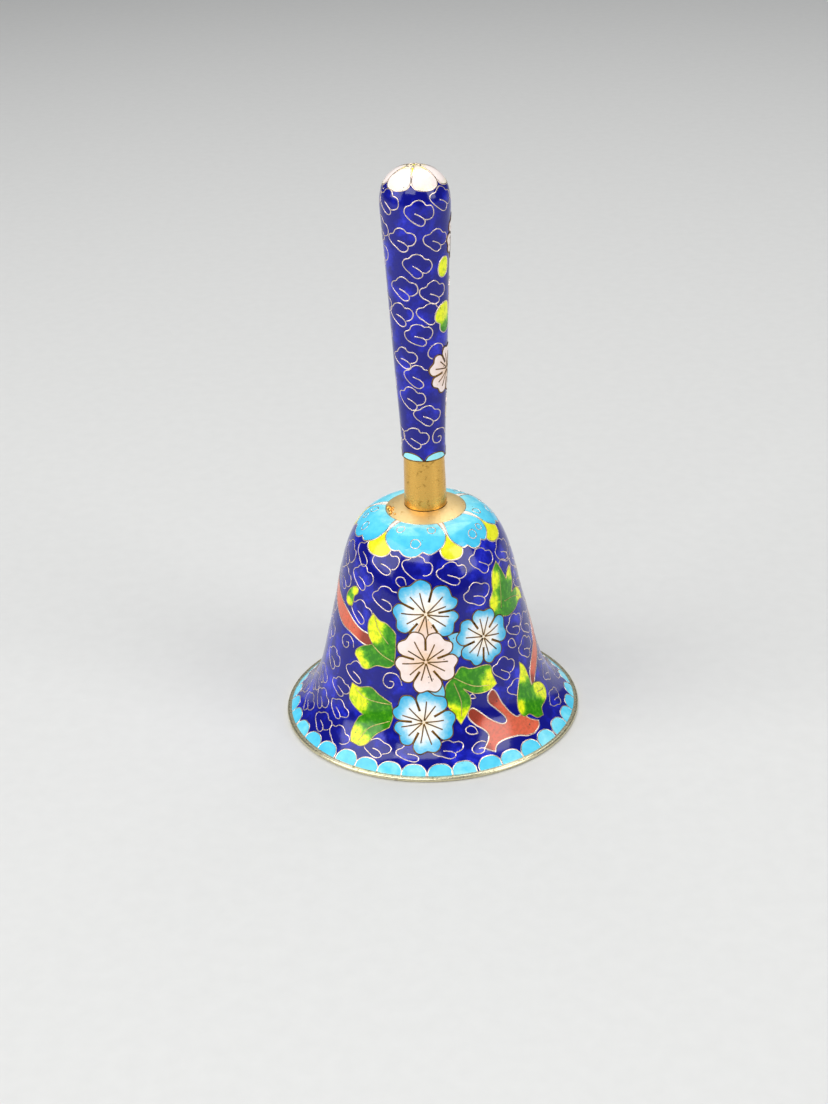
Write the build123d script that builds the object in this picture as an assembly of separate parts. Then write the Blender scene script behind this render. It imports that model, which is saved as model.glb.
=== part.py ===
from build123d import *
import math
import os

# A cloisonne enamel hand bell, in millimetres. The origin is the middle of the mouth, on the face
# that the bell stands on, and +Z runs up through the handle.

# Driving dimensions of the body, from the mouth up to the crown.
MOUTH_RADIUS = 35.0
RIM_HEIGHT = 1.1
RIM_INNER_RADIUS = 31.2
CROWN_HEIGHT = 52.3
CROWN_DISC_RADIUS = 9.15
DISC_STEP = 0.15
BORDER_TOP = 3.3
COLLAR_FOOT = 47.9

# The coats of the wall, from the outside in.
ENAMEL = 0.5
COPPER = 0.7
COUNTER_ENAMEL = 0.3
BODY_WALL = ENAMEL + COPPER + COUNTER_ENAMEL

# Handle and the brass sleeve that it stands in.
SLEEVE_FOOT = 53.5
SLEEVE_TOP = 66.0
SLEEVE_FOOT_RADIUS = 4.87
SLEEVE_TOP_RADIUS = 4.62
SLEEVE_BORE = 4.05
SLEEVE_WEAR = 0.15
HANDLE_TOP = 132.6
HANDLE_FOOT_RADIUS = 4.95
HANDLE_COPPER = 0.8
HANDLE_RING_TOP = 67.6
HANDLE_CAP_FOOT = 127.6
CORE_FOOT = 55.0
BOLT_TOP = 65.0

# Fasteners under the crown: an M3 eye bolt with its washer and nut.
BOLT_RADIUS = 1.5
BOLT_HOLE_RADIUS = 1.6
BOLT_FOOT = 46.6
WASHER_RADIUS = 4.0
WASHER_THICKNESS = 0.7
BARE_RADIUS = 4.3
NUT_ACROSS_FLATS = 5.5
NUT_HEIGHT = 2.4
EYE_RADIUS = 2.2
EYE_WIRE = 0.75
EYE_CENTRE = 44.8

# Link and clapper, each hanging in the wire above it with a running gap.
HANGING_GAP = 0.06
RING_RADIUS = 1.75
LINK_WIRE = 0.5
LINK_STRAIGHT = 3.2
CLAPPER_WIRE = 0.6
BALL_RADIUS = 5.0
BALL_CENTRE = 10.5

# Heights of the wires that the link and the clapper turn about, and of their own rings.
LINK_PIVOT = EYE_CENTRE - EYE_RADIUS
LINK_TOP_RING = LINK_PIVOT + EYE_WIRE + HANGING_GAP + LINK_WIRE - RING_RADIUS
LINK_FOOT_RING = LINK_TOP_RING - LINK_STRAIGHT
CLAPPER_PIVOT = LINK_FOOT_RING - RING_RADIUS
CLAPPER_RING = CLAPPER_PIVOT + LINK_WIRE + HANGING_GAP + CLAPPER_WIRE - RING_RADIUS

# Flowers as (angle in degrees, height, radius), in the order in which they lie on each other.
FLOWERS = ((-93, 25.0, 7.0), (-93, 36.0, 7.2), (-57, 28.5, 6.6), (-95, 11.5, 6.6))
PETALS = 5

# A flower's outline as shares of its radius: its round middle, and each petal's radius and place.
MIDDLE_SHARE = 0.5
PETAL_SHARE = 0.42
PETAL_PLACE = 0.58

# Leaves as (angle and height of the foot, angle and height of the tip, width).
LEAVES = (
    ((-112, 24.0), (-140, 27.0), 7.5),
    ((-118, 28.0), (-142, 33.5), 5.5),
    ((-108, 13.0), (-138, 16.5), 6.5),
    ((-108, 10.5), (-131, 4.8), 6.0),
    ((-74, 21.5), (-52, 17.5), 6.0),
    ((-78, 18.5), (-76, 9.5), 6.0),
    ((-42, 31.5), (-28, 42.5), 6.5),
    ((-40, 9.5), (-31, 17.5), 6.0),
)

# Branches as chains of (angle, height), with the width of the strip.
BRANCHES = (
    (((-160, 34.5), (-146, 30.0), (-131, 26.5)), 2.0),
    (((-46, 5.0), (-58, 7.5), (-70, 12.5)), 2.6),
    (((-57, 8.5), (-57, 15.5)), 2.2),
    (((-24, 13.5), (-17, 22.0)), 1.8),
)

# Spans of a curve that is moved into the wall, and halvings in the search for a height on it.
CURVE_STEPS = 24


def point(radius, height):
    """A point of a half profile, which lies in the XZ plane."""
    return Vector(radius, 0, height)


def body_curve():
    """Outside of the bell: a trumpet mouth, a straight waist and a round shoulder."""
    knots = ((34.9, 0.0), (31.2, 3.5), (27.1, 9.8), (24.6, 18.5), (21.65, 31.0), (19.25, 41.5),
             (17.3, 46.5), (14.7, 50.0), (11.9, 51.8), (CROWN_DISC_RADIUS, CROWN_HEIGHT))
    return Spline(*[point(*knot) for knot in knots], tangents=[(-1.27, 0, 1), (-1, 0, 0)])


def handle_curve():
    """Outside of the handle: it swells slowly upwards and ends in a dome."""
    knots = ((HANDLE_FOOT_RADIUS, SLEEVE_TOP), (5.65, 83.0), (6.65, 104.0), (7.55, 121.5),
             (7.62, 125.5), (6.8, 128.9), (4.2, 131.6), (0.0, HANDLE_TOP))
    return Spline(*[point(*knot) for knot in knots], tangents=[(0, 0, 1), (-1, 0, 0)])


def moved_in(curve, depth):
    """The same curve, deeper in the wall."""
    if depth == 0:
        return curve
    points = []
    for step in range(CURVE_STEPS + 1):
        place = curve @ (step / CURVE_STEPS)
        along = curve % (step / CURVE_STEPS)
        points.append(place + Vector(-along.Z, 0, along.X) * depth)
    return Spline(*points, tangents=[curve % 0, curve % 1])


def coat(curve, outer_depth, inner_depth):
    """One coat of a round wall, between two depths under its outside."""
    outer = moved_in(curve, outer_depth)
    inner = moved_in(curve, inner_depth)
    edges = [outer, Line(outer @ 1, inner @ 1), inner, Line(inner @ 0, outer @ 0)]
    return revolve(make_face(edges), Axis.Z, 360)


def band(solid, low, high):
    """The part of a round solid between two heights."""
    return solid & Pos(0, 0, (low + high) / 2) * Cylinder(MOUTH_RADIUS * 2, high - low)


def turned(*corners):
    """A solid turned from a straight-sided profile of (radius, height) corners."""
    profile = Polyline(*[point(*corner) for corner in corners], close=True)
    return revolve(make_face(profile), Axis.Z, 360)


def tube(outer_radius, inner_radius, low, high):
    return turned((inner_radius, low), (outer_radius, low), (outer_radius, high), (inner_radius, high))


def ring(radius, wire, height, normal):
    """A wire ring standing upright; its normal is X or Y."""
    turn = Rot(0, 90, 0) if normal == "X" else Rot(90, 0, 0)
    return Pos(0, 0, height) * turn * Torus(radius, wire)


def body_radius(height):
    """Radius of the bell's outside at a height, read off its curve."""
    curve = body_curve()
    low, high = 0.0, 1.0
    for _ in range(CURVE_STEPS):
        middle = (low + high) / 2
        if (curve @ middle).Z < height:
            low = middle
        else:
            high = middle
    return (curve @ low).X


def facing(angle, height):
    """A plane on the axis that looks out at an angle, with its Y up and its X along the wall."""
    turn = math.radians(angle)
    outwards = (math.cos(turn), math.sin(turn), 0)
    sideways = (-math.sin(turn), math.cos(turn), 0)
    return Plane(origin=(0, 0, height), x_dir=sideways, z_dir=outwards)


def cutter(face, angle, height):
    """A prism that runs out through the wall at an angle, with the outline of an inlay."""
    return extrude(facing(angle, height) * face, MOUTH_RADIUS * 2)


def flower_cutter(angle, height, radius):
    """Five round petals about a middle."""
    petal = Circle(radius * PETAL_SHARE)
    outline = Circle(radius * MIDDLE_SHARE)
    for turn in range(PETALS):
        outline += Rot(0, 0, 90 + turn * 360 / PETALS) * Pos(radius * PETAL_PLACE, 0) * petal
    return cutter(outline, angle, height)


def on_facing(spot, angle, height):
    """A spot of the wall, given by angle and height, seen on the plane that looks out at an angle."""
    sideways = body_radius(spot[1]) * math.sin(math.radians(spot[0] - angle))
    return Vector(sideways, spot[1] - height)


def leaf_cutter(foot, tip, width):
    """A pointed leaf between two arcs."""
    angle, height = (foot[0] + tip[0]) / 2, (foot[1] + tip[1]) / 2
    start, end = on_facing(foot, angle, height), on_facing(tip, angle, height)
    middle = (start + end) / 2
    across = (end - start).normalized().rotate(Axis.Z, 90) * (width / 2)
    left = ThreePointArc(start, middle + across, end)
    right = ThreePointArc(end, middle - across, start)
    return cutter(make_face([left, right]), angle, height)


def branch_cutter(spots, width):
    """A strip of even width with round ends and joints."""
    angle = sum(spot[0] for spot in spots) / len(spots)
    height = sum(spot[1] for spot in spots) / len(spots)
    places = [on_facing(spot, angle, height) for spot in spots]
    outline = None
    for start, end in zip(places, places[1:]):
        slot = SlotCenterToCenter((end - start).length, width)
        tilt = math.degrees(math.atan2(end.Y - start.Y, end.X - start.X))
        slot = Pos(*((start + end) / 2)) * Rot(0, 0, tilt) * slot
        outline = slot if outline is None else outline + slot
    return cutter(outline, angle, height)


def inlays(skin):
    """Flowers, leaves and branches cut out of the body's enamel, and the ground that is left."""
    groups = {
        "flower_inlays": [flower_cutter(*flower) for flower in FLOWERS],
        "leaf_inlays": [leaf_cutter(*leaf) for leaf in LEAVES],
        "branch_inlays": [branch_cutter(*branch) for branch in BRANCHES],
    }
    pieces = {}
    for name, cutters in groups.items():
        pieces[name] = []
        for shape in cutters:
            pieces[name] += (skin & shape).solids()
            skin = skin - shape
    made = {name: Compound(children=solids) for name, solids in pieces.items()}
    made["body_enamel"] = skin
    return made


def bell_shell():
    """Spun copper wall with its flat crown, drilled for the eye bolt."""
    wall = band(coat(body_curve(), ENAMEL, ENAMEL + COPPER), RIM_HEIGHT, CROWN_HEIGHT)
    top = CROWN_HEIGHT - ENAMEL
    return wall + tube(CROWN_DISC_RADIUS, BOLT_HOLE_RADIUS, top - COPPER, top)


def counter_enamel():
    """Enamel lining of the inside, left off where the washer bears on the copper."""
    wall = band(coat(body_curve(), ENAMEL + COPPER, BODY_WALL), RIM_HEIGHT, CROWN_HEIGHT)
    top = CROWN_HEIGHT - ENAMEL - COPPER
    return wall + tube(CROWN_DISC_RADIUS, BARE_RADIUS, top - COUNTER_ENAMEL, top)


def rim_ring():
    """Flat ring with a round outer edge, soldered to the mouth."""
    shoulder = MOUTH_RADIUS - RIM_HEIGHT / 2
    edge = ThreePointArc(point(shoulder, 0), point(MOUTH_RADIUS, RIM_HEIGHT / 2), point(shoulder, RIM_HEIGHT))
    sides = Polyline(point(shoulder, RIM_HEIGHT), point(RIM_INNER_RADIUS, RIM_HEIGHT),
                     point(RIM_INNER_RADIUS, 0), point(shoulder, 0))
    return revolve(make_face([edge, sides]), Axis.Z, 360)


def crown_disc():
    """Gilt disc, slightly domed up to the sleeve that stands on it."""
    foot, edge = CROWN_HEIGHT - ENAMEL, CROWN_HEIGHT + DISC_STEP
    land = SLEEVE_FOOT_RADIUS + DISC_STEP
    middle = point((land + CROWN_DISC_RADIUS) / 2, (edge + SLEEVE_FOOT) / 2 + DISC_STEP)
    dome = ThreePointArc(point(CROWN_DISC_RADIUS, edge), middle, point(land, SLEEVE_FOOT))
    sides = Polyline(point(land, SLEEVE_FOOT), point(BOLT_HOLE_RADIUS, SLEEVE_FOOT),
                     point(BOLT_HOLE_RADIUS, foot), point(CROWN_DISC_RADIUS, foot), point(CROWN_DISC_RADIUS, edge))
    return revolve(make_face([dome, sides]), Axis.Z, 360)


def ferrule():
    """Brass sleeve with worn edges."""
    bore, wear = SLEEVE_BORE, SLEEVE_WEAR
    return turned((bore, SLEEVE_FOOT), (SLEEVE_FOOT_RADIUS - wear, SLEEVE_FOOT),
                  (SLEEVE_FOOT_RADIUS, SLEEVE_FOOT + wear), (SLEEVE_TOP_RADIUS, SLEEVE_TOP - wear),
                  (SLEEVE_TOP_RADIUS - wear, SLEEVE_TOP), (bore, SLEEVE_TOP))


def handle_core():
    """Copper tube, closed by its dome, and necked down where it goes into the sleeve."""
    wall = coat(handle_curve(), ENAMEL, ENAMEL + HANDLE_COPPER)
    neck = tube(SLEEVE_BORE, SLEEVE_BORE - HANDLE_COPPER, CORE_FOOT, SLEEVE_TOP)
    step = tube(HANDLE_FOOT_RADIUS - ENAMEL, SLEEVE_BORE - HANDLE_COPPER, SLEEVE_TOP, SLEEVE_TOP + HANDLE_COPPER)
    return wall + neck + step


def handle_plug():
    """Brass plug soldered in the tube's foot, tapped through for the eye bolt."""
    return tube(SLEEVE_BORE - HANDLE_COPPER, BOLT_RADIUS, CORE_FOOT, BOLT_TOP)


def eye_bolt():
    """Shank through crown, sleeve and plug, with a round eye below."""
    shank = Pos(0, 0, (BOLT_FOOT + BOLT_TOP) / 2) * Cylinder(BOLT_RADIUS, BOLT_TOP - BOLT_FOOT)
    return shank + ring(EYE_RADIUS, EYE_WIRE, EYE_CENTRE, "Y")


def crown_nut():
    top = CROWN_HEIGHT - ENAMEL - COPPER - WASHER_THICKNESS
    hexagon = RegularPolygon(NUT_ACROSS_FLATS / 2, 6, major_radius=False)
    return extrude(Pos(0, 0, top - NUT_HEIGHT) * (hexagon - Circle(BOLT_RADIUS)), NUT_HEIGHT)


def crown_washer():
    top = CROWN_HEIGHT - ENAMEL - COPPER
    return tube(WASHER_RADIUS, BOLT_HOLE_RADIUS, top - WASHER_THICKNESS, top)


def chain_link():
    """Long link of round wire: two half rings and two straight sides."""
    cut_top = Plane(origin=(0, 0, LINK_TOP_RING), z_dir=(0, 0, 1))
    cut_foot = Plane(origin=(0, 0, LINK_FOOT_RING), z_dir=(0, 0, 1))
    link = split(ring(RING_RADIUS, LINK_WIRE, LINK_TOP_RING, "X"), cut_top, Keep.TOP)
    link += split(ring(RING_RADIUS, LINK_WIRE, LINK_FOOT_RING, "X"), cut_foot, Keep.BOTTOM)
    for side in (-RING_RADIUS, RING_RADIUS):
        link += Pos(0, side, (LINK_TOP_RING + LINK_FOOT_RING) / 2) * Cylinder(LINK_WIRE, LINK_STRAIGHT)
    return link


def clapper_wire():
    """Stem with a closed loop at its top, which ends flush under the ball."""
    top, foot = CLAPPER_RING - RING_RADIUS, BALL_CENTRE - BALL_RADIUS + HANGING_GAP
    stem = Pos(0, 0, (top + foot) / 2) * Cylinder(CLAPPER_WIRE, top - foot)
    return stem + ring(RING_RADIUS, CLAPPER_WIRE, CLAPPER_RING, "Y")


def clapper_ball():
    """Brass ball, drilled through for the stem."""
    return Pos(0, 0, BALL_CENTRE) * (Sphere(BALL_RADIUS) - Cylinder(CLAPPER_WIRE, BALL_RADIUS * 2))


def build():
    body_skin = coat(body_curve(), 0, ENAMEL)
    handle_skin = coat(handle_curve(), 0, ENAMEL)
    parts = inlays(band(body_skin, BORDER_TOP, COLLAR_FOOT))
    parts |= {
        "rim_ring": rim_ring(),
        "rim_border_enamel": band(body_skin, RIM_HEIGHT, BORDER_TOP),
        "collar_enamel": band(body_skin, COLLAR_FOOT, SLEEVE_FOOT),
        "crown_disc": crown_disc(),
        "ferrule": ferrule(),
        "handle_foot_enamel": band(handle_skin, SLEEVE_FOOT, HANDLE_RING_TOP),
        "handle_enamel": band(handle_skin, HANDLE_RING_TOP, HANDLE_CAP_FOOT),
        "handle_cap_enamel": band(handle_skin, HANDLE_CAP_FOOT, HANDLE_TOP + ENAMEL),
        "bell_shell": bell_shell(),
        "counter_enamel": counter_enamel(),
        "handle_core": handle_core(),
        "handle_plug": handle_plug(),
        "eye_bolt": eye_bolt(),
        "crown_washer": crown_washer(),
        "crown_nut": crown_nut(),
        "chain_link": chain_link(),
        "clapper_wire": clapper_wire(),
        "clapper_ball": clapper_ball(),
    }
    return parts


os.makedirs("parts", exist_ok=True)
for name, solid in build().items():
    export_step(solid, f"parts/{name}.step")
print("link pivot", LINK_PIVOT, "clapper pivot", round(CLAPPER_PIVOT, 3))
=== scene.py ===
import math
import random

import bpy
import numpy as np
from mathutils import Matrix, Vector
from mathutils.geometry import delaunay_2d_cdt


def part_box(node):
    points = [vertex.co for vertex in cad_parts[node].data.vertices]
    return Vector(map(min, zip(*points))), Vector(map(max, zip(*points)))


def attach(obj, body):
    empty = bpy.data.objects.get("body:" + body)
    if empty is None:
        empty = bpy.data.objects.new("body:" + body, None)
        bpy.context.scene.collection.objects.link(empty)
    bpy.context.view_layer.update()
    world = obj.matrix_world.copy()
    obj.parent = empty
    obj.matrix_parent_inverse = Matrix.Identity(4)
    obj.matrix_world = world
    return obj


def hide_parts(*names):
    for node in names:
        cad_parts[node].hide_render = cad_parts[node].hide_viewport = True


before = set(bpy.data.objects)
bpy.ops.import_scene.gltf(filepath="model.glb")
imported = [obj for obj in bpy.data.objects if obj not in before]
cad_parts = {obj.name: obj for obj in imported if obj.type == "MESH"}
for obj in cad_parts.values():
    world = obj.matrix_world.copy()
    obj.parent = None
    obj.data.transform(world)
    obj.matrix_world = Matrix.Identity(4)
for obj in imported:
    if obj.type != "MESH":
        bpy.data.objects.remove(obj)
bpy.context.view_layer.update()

# ----------------------------------------
# Bell wall: a cup of thin copper, spun on a lathe and pickled clean before it is enamelled. Nothing of
# it shows once the enamel is on, apart from its hole in the crown.


def linear(code):
    """A colour given as sRGB hex, as the linear values that a shader takes."""
    parts = [int(code[k:k + 2], 16) / 255 for k in (0, 2, 4)]
    return [p / 12.92 if p <= 0.04045 else ((p + 0.055) / 1.055) ** 2.4 for p in parts] + [1.0]


def repeats(size):
    """How often a pattern of that size in mm repeats in a metre."""
    return 1000 / size


def blank(name):
    made = bpy.data.materials.new(name)
    made.use_nodes = True
    made.node_tree.nodes.clear()
    return made


def node(material, kind, inputs=None, **settings):
    """Adds a node with its settings. An input takes a value, or the output that is linked to it."""
    made = material.node_tree.nodes.new("ShaderNode" + kind)
    for name, value in settings.items():
        setattr(made, name, value)
    for name, value in (inputs or {}).items():
        if isinstance(value, bpy.types.NodeSocket):
            material.node_tree.links.new(value, made.inputs[name])
        else:
            made.inputs[name].default_value = value
    return made


def rubbed_metal(name, clean, tarnish, roughness, patch, dull=0.5, marks=(1.0, 1.0, 1.0), depth=0.004):
    """Bare or gilt metal: clean where it is rubbed, tarnished in patches, with fine marks of its making.

    patch is the size of the tarnish in mm, dull the share that it covers, marks how much finer the marks
    are along each axis, and depth their depth in mm.
    """
    made = blank(name)
    spot = node(made, "TexCoord").outputs["Object"]
    cloudy = node(made, "TexNoise", {"Vector": spot, "Scale": repeats(patch), "Detail": 7.0,
                                     "Roughness": 0.68})
    tarnished = node(made, "MapRange", {"Value": cloudy.outputs["Fac"], "From Min": 0.72 - dull * 0.4,
                                        "From Max": 0.82 - dull * 0.3})
    colour = node(made, "Mix", {0: tarnished.outputs["Result"], 6: linear(clean), 7: linear(tarnish)},
                  data_type="RGBA")
    stretched = node(made, "Mapping", {"Vector": spot, "Scale": marks})
    fine = node(made, "TexNoise", {"Vector": stretched.outputs["Vector"], "Scale": repeats(0.6),
                                   "Detail": 4.0})
    rough = node(made, "MapRange", {"Value": fine.outputs["Fac"], "To Min": roughness * 0.7,
                                    "To Max": roughness * 1.4})
    worn = node(made, "Math", {0: tarnished.outputs["Result"], 1: 0.22, 2: rough.outputs["Result"]},
                operation="MULTIPLY_ADD")
    relief = node(made, "Bump", {"Height": fine.outputs["Fac"], "Distance": depth / 1000, "Strength": 1.0})
    skin = node(made, "BsdfPrincipled", {"Base Color": colour.outputs[2], "Metallic": 1.0,
                                         "Roughness": worn.outputs[0], "Normal": relief.outputs["Normal"]})
    node(made, "OutputMaterial", {"Surface": skin.outputs[0]})
    return made


# Spun and pickled copper: matt rose brown, with rings left by the spinning tool.
copper_spun = rubbed_metal("copper_spun", "C98060", "6E3A26", 0.34, 6.0, 0.5, (0.1, 0.1, 3.0), 0.01)


def dress(name, material):
    """Gives a node of the frame its finish."""
    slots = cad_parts[name].data.materials
    slots.clear()
    slots.append(material)


dress("bell_shell", copper_spun)

# ----------------------------------------
# Lining: a sifted coat of turquoise counter enamel, fired inside the cup so that the wall does not
# warp. It is never polished, so it keeps the wavy, pitted skin of the kiln.


def fired_enamel(name, stops, roughness, drift=0.1, mottle=(2.2, 0.12), pits=0.12, peel=0.012):
    """Glass enamel fired on copper: glossy, a little mottled and wavy, with open bubbles here and there.

    stops are (place, colour) along the piece's own shade, which drift makes uneven. mottle is the size
    in mm and the strength of the cloudy tone, pits the radius of the bubbles and peel the waves' depth.
    """
    made = blank(name)
    spot = node(made, "TexCoord").outputs["Object"]
    shade = node(made, "Attribute", attribute_name="shade").outputs["Fac"]
    cloudy = node(made, "TexNoise", {"Vector": spot, "Scale": repeats(mottle[0]), "Detail": 5.0,
                                     "Roughness": 0.6})
    swing = node(made, "MapRange", {"Value": cloudy.outputs["Fac"], "From Min": 0.3, "From Max": 0.7,
                                    "To Min": -drift, "To Max": drift})
    uneven = node(made, "Math", {0: shade, 1: swing.outputs["Result"]}, operation="ADD")
    ramp = node(made, "ValToRGB", {"Fac": uneven.outputs[0]})
    elements = ramp.color_ramp.elements
    while len(elements) < len(stops):
        elements.new(0.5)
    for element, (place, colour) in zip(elements, stops):
        element.position = place
        element.color = linear(colour)
    tone = node(made, "MapRange", {"Value": cloudy.outputs["Fac"], "From Min": 0.25, "From Max": 0.75,
                                   "To Min": 1 - mottle[1], "To Max": 1 + mottle[1]})
    toned = node(made, "HueSaturation", {"Color": ramp.outputs["Color"], "Value": tone.outputs["Result"]})
    bubbles = node(made, "TexVoronoi", {"Vector": spot, "Scale": repeats(1.5)})
    hole = node(made, "MapRange", {"Value": bubbles.outputs["Distance"], "From Min": pits * 0.5,
                                   "From Max": pits, "To Min": 1.0, "To Max": 0.0})
    open_here = node(made, "Math", {0: bubbles.outputs["Color"], 1: 0.62}, operation="GREATER_THAN")
    pit = node(made, "Math", {0: hole.outputs["Result"], 1: open_here.outputs[0]}, operation="MULTIPLY")
    grime = node(made, "Mix", {0: pit.outputs[0], 6: toned.outputs["Color"], 7: linear("4A4038")},
                 data_type="RGBA")
    waves = node(made, "TexNoise", {"Vector": spot, "Scale": repeats(2.6), "Detail": 2.0, "Roughness": 0.45})
    hills = node(made, "Bump", {"Height": waves.outputs["Fac"], "Distance": peel / 1000 * 3, "Strength": 1.0})
    holes = node(made, "Bump", {"Height": pit.outputs[0], "Distance": 0.03 / 1000,
                                "Normal": hills.outputs["Normal"]}, invert=True)
    rough = node(made, "MapRange", {"Value": cloudy.outputs["Fac"], "From Min": 0.3, "From Max": 0.7,
                                    "To Min": roughness * 0.75, "To Max": roughness * 1.35})
    skin = node(made, "BsdfPrincipled", {"Base Color": grime.outputs[2], "Roughness": rough.outputs["Result"],
                                         "IOR": 1.46, "Normal": holes.outputs["Normal"]})
    node(made, "OutputMaterial", {"Surface": skin.outputs[0]})
    return made


# Sifted counter enamel, as it came from the kiln: soft blue green, cloudy and full of open bubbles.
enamel_sifted = fired_enamel("enamel_sifted_turquoise", [(0.0, "2E8FA8"), (1.0, "5FBBCB")], 0.22, 0.5,
                             (1.6, 0.25), 0.3, 0.03)
dress("counter_enamel", enamel_sifted)

# ----------------------------------------
# Rim ring: a flat brass ring soldered to the mouth, filed round at its edge and gilt. The bell stands
# on it, so the gilding is rubbed thin and brown tarnish shows.

# Gilt brass, brushed by years of handling: pale warm gold with brown freckles.
brass_gilt = rubbed_metal("brass_gilt", "E2DAB6", "7E7044", 0.27, 1.6, 0.4, (1.0, 1.0, 4.0))
dress("rim_ring", brass_gilt)

# ----------------------------------------
# Cobalt ground of the body: dark blue glass packed wet between the wires, fired several times and
# ground flush with stones, so it is smooth and mirror bright with faint waves.

FINE_SPANS = 160
ENAMEL_DEPTH = 0.5


def smooth_span(start, end, start_way, end_way, t):
    """The span from start to end that leaves and arrives in the given ways."""
    return (start * (2 * t**3 - 3 * t**2 + 1) + end * (3 * t**2 - 2 * t**3)
            + start_way * (t**3 - 2 * t**2 + t) + end_way * (t**3 - t**2))


class Turned:
    """The outside of a turned wall: a smooth half profile through (radius, height) knots in mm.

    A spot of the wall is its angle in degrees about the axis and its length along the profile in mm.
    """

    def __init__(self, knots, start_way, end_way):
        knots = np.array(knots, float)
        spans = np.hypot(*np.diff(knots, axis=0).T)
        count = len(knots)
        rule, slopes = np.eye(count), np.zeros((count, 2))
        slopes[0], slopes[-1] = start_way, end_way
        for k in range(1, count - 1):
            before, after = spans[k - 1], spans[k]
            rule[k, k - 1:k + 2] = after, 2 * (before + after), before
            risen, rising = knots[k] - knots[k - 1], knots[k + 1] - knots[k]
            slopes[k] = 3 * (after * risen / before + before * rising / after)
        slopes = np.linalg.solve(rule, slopes)
        line = [knots[:1]]
        for k, span in enumerate(spans):
            t = np.linspace(0, 1, FINE_SPANS)[1:, None]
            line.append(smooth_span(knots[k], knots[k + 1], span * slopes[k], span * slopes[k + 1], t))
        line = np.vstack(line)
        ways = np.gradient(line, axis=0)
        ways /= np.hypot(*ways.T)[:, None]
        self.line = line
        self.faces_out = np.column_stack((ways[:, 1], -ways[:, 0]))
        self.along = np.concatenate(([0.0], np.cumsum(np.hypot(*np.diff(line, axis=0).T))))
        self.length = self.along[-1]

    def radius(self, along):
        return np.interp(along, self.along, self.line[:, 0])

    def reach(self, height):
        """Length along the profile at a height."""
        return float(np.interp(height, self.line[:, 1], self.along))

    def points(self, spots, lift=0.0):
        """Points in mm over spots of the wall, and the way that the wall faces there."""
        spots = np.atleast_2d(spots)
        turn = np.radians(spots[:, 0])
        out, up = [np.interp(spots[:, 1], self.along, self.faces_out[:, k]) for k in (0, 1)]
        radius, height = [np.interp(spots[:, 1], self.along, self.line[:, k]) for k in (0, 1)]
        faces = np.column_stack((out * np.cos(turn), out * np.sin(turn), up))
        feet = np.column_stack((radius * np.cos(turn), radius * np.sin(turn), height))
        return feet + faces * np.reshape(lift, (-1, 1)), faces


class Making:
    """The points in mm, the faces and the shades of one piece while it is made."""

    def __init__(self):
        self.points, self.faces, self.shades, self.count = [], [], [], 0

    def add(self, points, faces, shades=0.0):
        self.points.append(np.asarray(points, float))
        self.faces += [[self.count + k for k in face] for face in faces]
        self.shades.append(np.broadcast_to(shades, len(points)))
        self.count += len(points)

    def finished(self, name, material, slot, replaced=(), body="root", sharp=None):
        mesh = bpy.data.meshes.new(name)
        mesh.from_pydata((np.vstack(self.points) / 1000).tolist(), [], self.faces)
        shades = mesh.attributes.new("shade", "FLOAT", "POINT")
        shades.data.foreach_set("value", np.concatenate(self.shades).astype(np.float32))
        mesh.polygons.foreach_set("use_smooth", [True] * len(mesh.polygons))
        if sharp:
            mesh.set_sharp_from_angle(angle=math.radians(sharp))
        mesh.materials.append(material)
        made = bpy.data.objects.new(name, mesh)
        bpy.context.scene.collection.objects.link(made)
        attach(made, body)
        if replaced:
            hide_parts(*replaced)
        return made


def tiles(rows, columns, closed_rows=False):
    """Faces between the points of a grid whose columns close into rings."""
    last = rows if closed_rows else rows - 1
    faces = []
    for row in range(last):
        for column in range(columns):
            side = (column + 1) % columns
            this, above = row * columns, (row + 1) % rows * columns
            faces.append((this + column, this + side, above + side, above + column))
    return faces


def hoop(radius, turns, height):
    """Points about the axis, at turns in radians."""
    return np.column_stack((radius * np.cos(turns), radius * np.sin(turns), np.full(len(turns), height)))


def coat(wall, low, high, segments, row_height):
    """A closed coat of enamel on a wall, between two lengths along it."""
    rows = max(2, round((high - low) / row_height))
    outside = [(along, 0.0) for along in np.linspace(low, high, rows)]
    inside = [(along, -ENAMEL_DEPTH) for along in np.linspace(high, low, rows)]
    making = Making()
    angles = np.arange(segments) * 360 / segments
    grid = []
    for along, lift in outside + inside:
        grid.append(wall.points(np.column_stack((angles, np.full(segments, along))), lift)[0])
    making.add(np.vstack(grid), tiles(len(grid), segments, closed_rows=True))
    return making


RIM_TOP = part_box("rim_ring")[1].z * 1000
CROWN_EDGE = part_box("crown_disc")[1].x * 1000
body_wall = Turned(((34.9, 0), (31.2, 3.5), (27.1, 9.8), (24.6, 18.5), (21.65, 31), (19.25, 41.5),
                    (17.3, 46.5), (14.7, 50), (11.9, 51.8), (CROWN_EDGE, 52.3)), (-0.6, 0.8), (-1, 0))

# Cobalt enamel, ground and polished: a deep violet blue with slow changes of depth and a sharp shine.
enamel_cobalt = fired_enamel("enamel_cobalt", [(0.0, "060A84"), (0.5, "141EB0"), (1.0, "3038D8")], 0.11, 0.9,
                             (5.5, 0.12), 0.09)
COAT_ROW = 0.6
body_ground = coat(body_wall, body_wall.reach(RIM_TOP), body_wall.length, 256, COAT_ROW)
body_ground.finished("body_cobalt_ground", enamel_cobalt, "cobalt_enamel", ["body_enamel"])

# ----------------------------------------
# Flowers of the body: five-petalled plum blossoms drawn with bent copper wire, filled with white that
# is shaded into turquoise, and one in pink white laid over the others. Dark wires stand for stamens.

TIP = True
# Steps in mm of a drawn line and of the net that fills a cell.
LINE_STEP, CELL_STEP = 0.3, 0.7
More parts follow.
